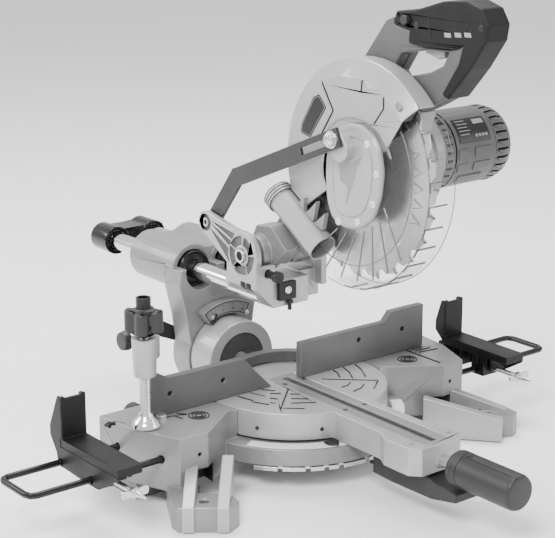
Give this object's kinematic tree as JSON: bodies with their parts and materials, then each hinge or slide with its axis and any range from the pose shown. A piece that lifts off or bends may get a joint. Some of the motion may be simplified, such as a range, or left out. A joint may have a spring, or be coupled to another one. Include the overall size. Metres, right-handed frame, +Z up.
{
  "type": "sliding miter saw",
  "caption": "Bench miter saw: a guarded blade head on two sliding chrome rails tilts, turns and chops over a round table with fence, clamp, wire extensions and flip stops.",
  "frame": {"origin": "on the floor under the turntable's vertical axis, which is the centre of the bounding box's floor", "axes": "+X to the operator's right, +Y to the rear along the rails, +Z up; the operator stands at -Y"},
  "size_m": [0.6868, 0.65, 0.487],
  "materials": {
    "black_plastic": "black moulding",
    "casting": "light grey satin paint on die-cast aluminium",
    "chrome": "polished chrome plate",
    "clear": "clear moulded guard, faintly smoked",
    "copper": "copper windings on a laminated core",
    "dark_casting": "mid-grey satin paint on die-cast aluminium",
    "dark_steel": "dark grey coated steel",
    "grey_plastic": "grey fine-grained moulding",
    "knob_plastic": "dark grey moulding",
    "rubber": "black soft-touch rubber",
    "scale": "white printed scale",
    "steel": "bright machined steel"
  },
  "bodies": {
    "base": {"base_casting": "casting", "miter_scale_plate": "scale", "detent_plate": "steel", "fence": "dark_casting"},
    "turntable": {"turntable_casting": "casting", "kerf_insert": "black_plastic"},
    "miter_lock": {"miter_lock_shaft": "steel", "miter_lock_grip": "knob_plastic"},
    "detent": {"detent_lever": "black_plastic"},
    "bevel_arm": {"arm_casting": "casting", "rail_bushing_left": "black_plastic", "rail_bushing_right": "black_plastic", "bevel_scale_plate": "scale", "bevel_pivot_pin": "steel"},
    "bevel_lock": {"bevel_lock_lever": "knob_plastic"},
    "rail_lock": {"rail_lock_knob": "knob_plastic"},
    "carriage": {"rail_left": "chrome", "rail_right": "chrome", "rail_end_cap": "black_plastic", "carriage_casting": "casting", "head_pivot_shaft": "steel", "return_spring": "dark_steel", "depth_stop_plate": "black_plastic"},
    "lock_pin": {"head_lock_pin": "black_plastic"},
    "head": {"gear_housing": "casting", "upper_guard": "casting", "dust_port": "casting", "motor_housing": "grey_plastic", "motor_end_cap": "grey_plastic", "motor_stator": "copper", "handle_shell_left": "grey_plastic", "handle_shell_right": "grey_plastic", "handle_overmould": "rubber", "trigger_switch": "black_plastic"},
    "trigger": {"trigger": "knob_plastic"},
    "lock_off": {"lock_off_button": "knob_plastic"},
    "blade": {"saw_blade": "steel", "spindle": "steel", "spindle_gear": "dark_steel", "blade_flange": "steel", "blade_flange_inner": "steel", "arbor_bolt": "dark_steel"},
    "armature": {"armature": "copper", "cooling_fan": "grey_plastic"},
    "lower_guard": {"lower_guard": "clear", "guard_cover_plate": "casting"},
    "guard_link": {"guard_link": "dark_steel", "guard_link_bolt": "steel"},
    "extension_left": {"extension_loop_left": "dark_steel", "stop_bracket_left": "dark_steel"},
    "extension_right": {"extension_loop_right": "dark_steel", "stop_bracket_right": "dark_steel"},
    "wing_left": {"wing_screw_left": "steel"},
    "wing_right": {"wing_screw_right": "steel"},
    "clamp_post": {"clamp_post": "steel"},
    "clamp_arm": {"clamp_arm": "casting"},
    "clamp_screw": {"clamp_screw": "chrome"},
    "clamp_knob": {"clamp_arm_knob": "knob_plastic"},
    "post_lock": {"post_lock_knob": "knob_plastic"}
  },
  "joints": [
    {"name": "miter", "type": "hinge", "parent": "base", "child": "turntable", "pos_m": [0, 0, 0.05], "axis": [0, 0, 1], "range_deg": [-45, 38]},
    {"name": "miter_lock_turn", "type": "hinge", "parent": "turntable", "child": "miter_lock", "pos_m": [0, -0.223, 0.058], "axis": [0, 1, 0], "range_deg": [0, 180]},
    {"name": "detent_press", "type": "hinge", "parent": "turntable", "child": "detent", "pos_m": [0, -0.17, 0.037], "axis": [1, 0, 0], "range_deg": [0, 12], "stiffness_Nm_per_rad": 1.5, "springref_deg": -17.19},
    {"name": "bevel", "type": "hinge", "parent": "turntable", "child": "bevel_arm", "pos_m": [0, 0.124, 0.075], "axis": [0, -1, 0], "range_deg": [0, 45]},
    {"name": "bevel_lock_turn", "type": "hinge", "parent": "bevel_arm", "child": "bevel_lock", "pos_m": [0, 0.163, 0.075], "axis": [0, 1, 0], "range_deg": [-40, 0]},
    {"name": "rail_lock_turn", "type": "hinge", "parent": "bevel_arm", "child": "rail_lock", "pos_m": [0.06, 0.185, 0.171], "axis": [1, 0, 0], "range_deg": [0, 180]},
    {"name": "slide", "type": "slide", "parent": "bevel_arm", "child": "carriage", "axis": [0, -1, 0], "range_m": [-0.037, 0.035]},
    {"name": "lock_pin_pull", "type": "slide", "parent": "carriage", "child": "lock_pin", "axis": [0, -1, 0], "range_m": [0, 0.008], "stiffness_N_per_m": 200, "springref_m": -0.004},
    {"name": "chop", "type": "hinge", "parent": "carriage", "child": "head", "pos_m": [0, 0.026, 0.213], "axis": [1, 0, 0], "range_deg": [0, 52], "stiffness_Nm_per_rad": 6, "springref_deg": -68.75},
    {"name": "trigger_pull", "type": "slide", "parent": "head", "child": "trigger", "axis": [0, 0, 1], "range_m": [0, 0.003], "stiffness_N_per_m": 300, "springref_m": -0.003},
    {"name": "lock_off_press", "type": "slide", "parent": "head", "child": "lock_off", "axis": [1, 0, 0], "range_m": [0, 0.003], "stiffness_N_per_m": 300, "springref_m": -0.003},
    {"name": "blade_spin", "type": "hinge", "parent": "head", "child": "blade", "pos_m": [0, -0.104, 0.317], "axis": [1, 0, 0], "continuous": true},
    {"name": "armature_spin", "type": "hinge", "parent": "head", "child": "armature", "pos_m": [0.1, -0.116, 0.329], "axis": [1, 0, 0], "continuous": true},
    {"name": "guard_swing", "type": "hinge", "parent": "head", "child": "lower_guard", "pos_m": [0, -0.104, 0.317], "axis": [1, 0, 0], "range_deg": [-115, 0]},
    {"name": "link_swing", "type": "hinge", "parent": "carriage", "child": "guard_link", "pos_m": [-0.0365, 0.088, 0.236], "axis": [1, 0, 0], "range_deg": [0, 45]},
    {"name": "extend_left", "type": "slide", "parent": "base", "child": "extension_left", "axis": [-1, 0, 0], "range_m": [-0.017, 0.03]},
    {"name": "extend_right", "type": "slide", "parent": "base", "child": "extension_right", "axis": [1, 0, 0], "range_m": [-0.014, 0.03]},
    {"name": "wing_left_turn", "type": "hinge", "parent": "extension_left", "child": "wing_left", "pos_m": [-0.2615, -0.094, 0.052], "axis": [0, 1, 0], "range_deg": [0, 180]},
    {"name": "wing_right_turn", "type": "hinge", "parent": "extension_right", "child": "wing_right", "pos_m": [0.2425, -0.094, 0.052], "axis": [0, 1, 0], "range_deg": [0, 180]},
    {"name": "clamp_swing", "type": "hinge", "parent": "base", "child": "clamp_post", "pos_m": [-0.166, 0.0215, 0.075], "axis": [0, 0, 1], "range_deg": [-45, 0]},
    {"name": "clamp_height", "type": "slide", "parent": "clamp_post", "child": "clamp_arm", "axis": [0, 0, 1], "range_m": [0, 0.02]},
    {"name": "clamp_feed", "type": "slide", "parent": "clamp_arm", "child": "clamp_screw", "axis": [0, 0, 1], "range_m": [0, 0.028]},
    {"name": "clamp_knob_turn", "type": "hinge", "parent": "clamp_arm", "child": "clamp_knob", "pos_m": [-0.186, 0.0215, 0.153], "axis": [1, 0, 0], "range_deg": [0, 180]},
    {"name": "post_lock_turn", "type": "hinge", "parent": "base", "child": "post_lock", "pos_m": [-0.166, 0.04, 0.063], "axis": [0, 1, 0], "range_deg": [0, 180]}
  ],
  "couplings": [
    {"joint": "armature_spin", "follows": "blade_spin", "ratio": -4.3333},
    {"joint": "guard_swing", "follows": "chop", "ratio": -2.2},
    {"joint": "link_swing", "follows": "chop", "ratio": 0.852}
  ]
}
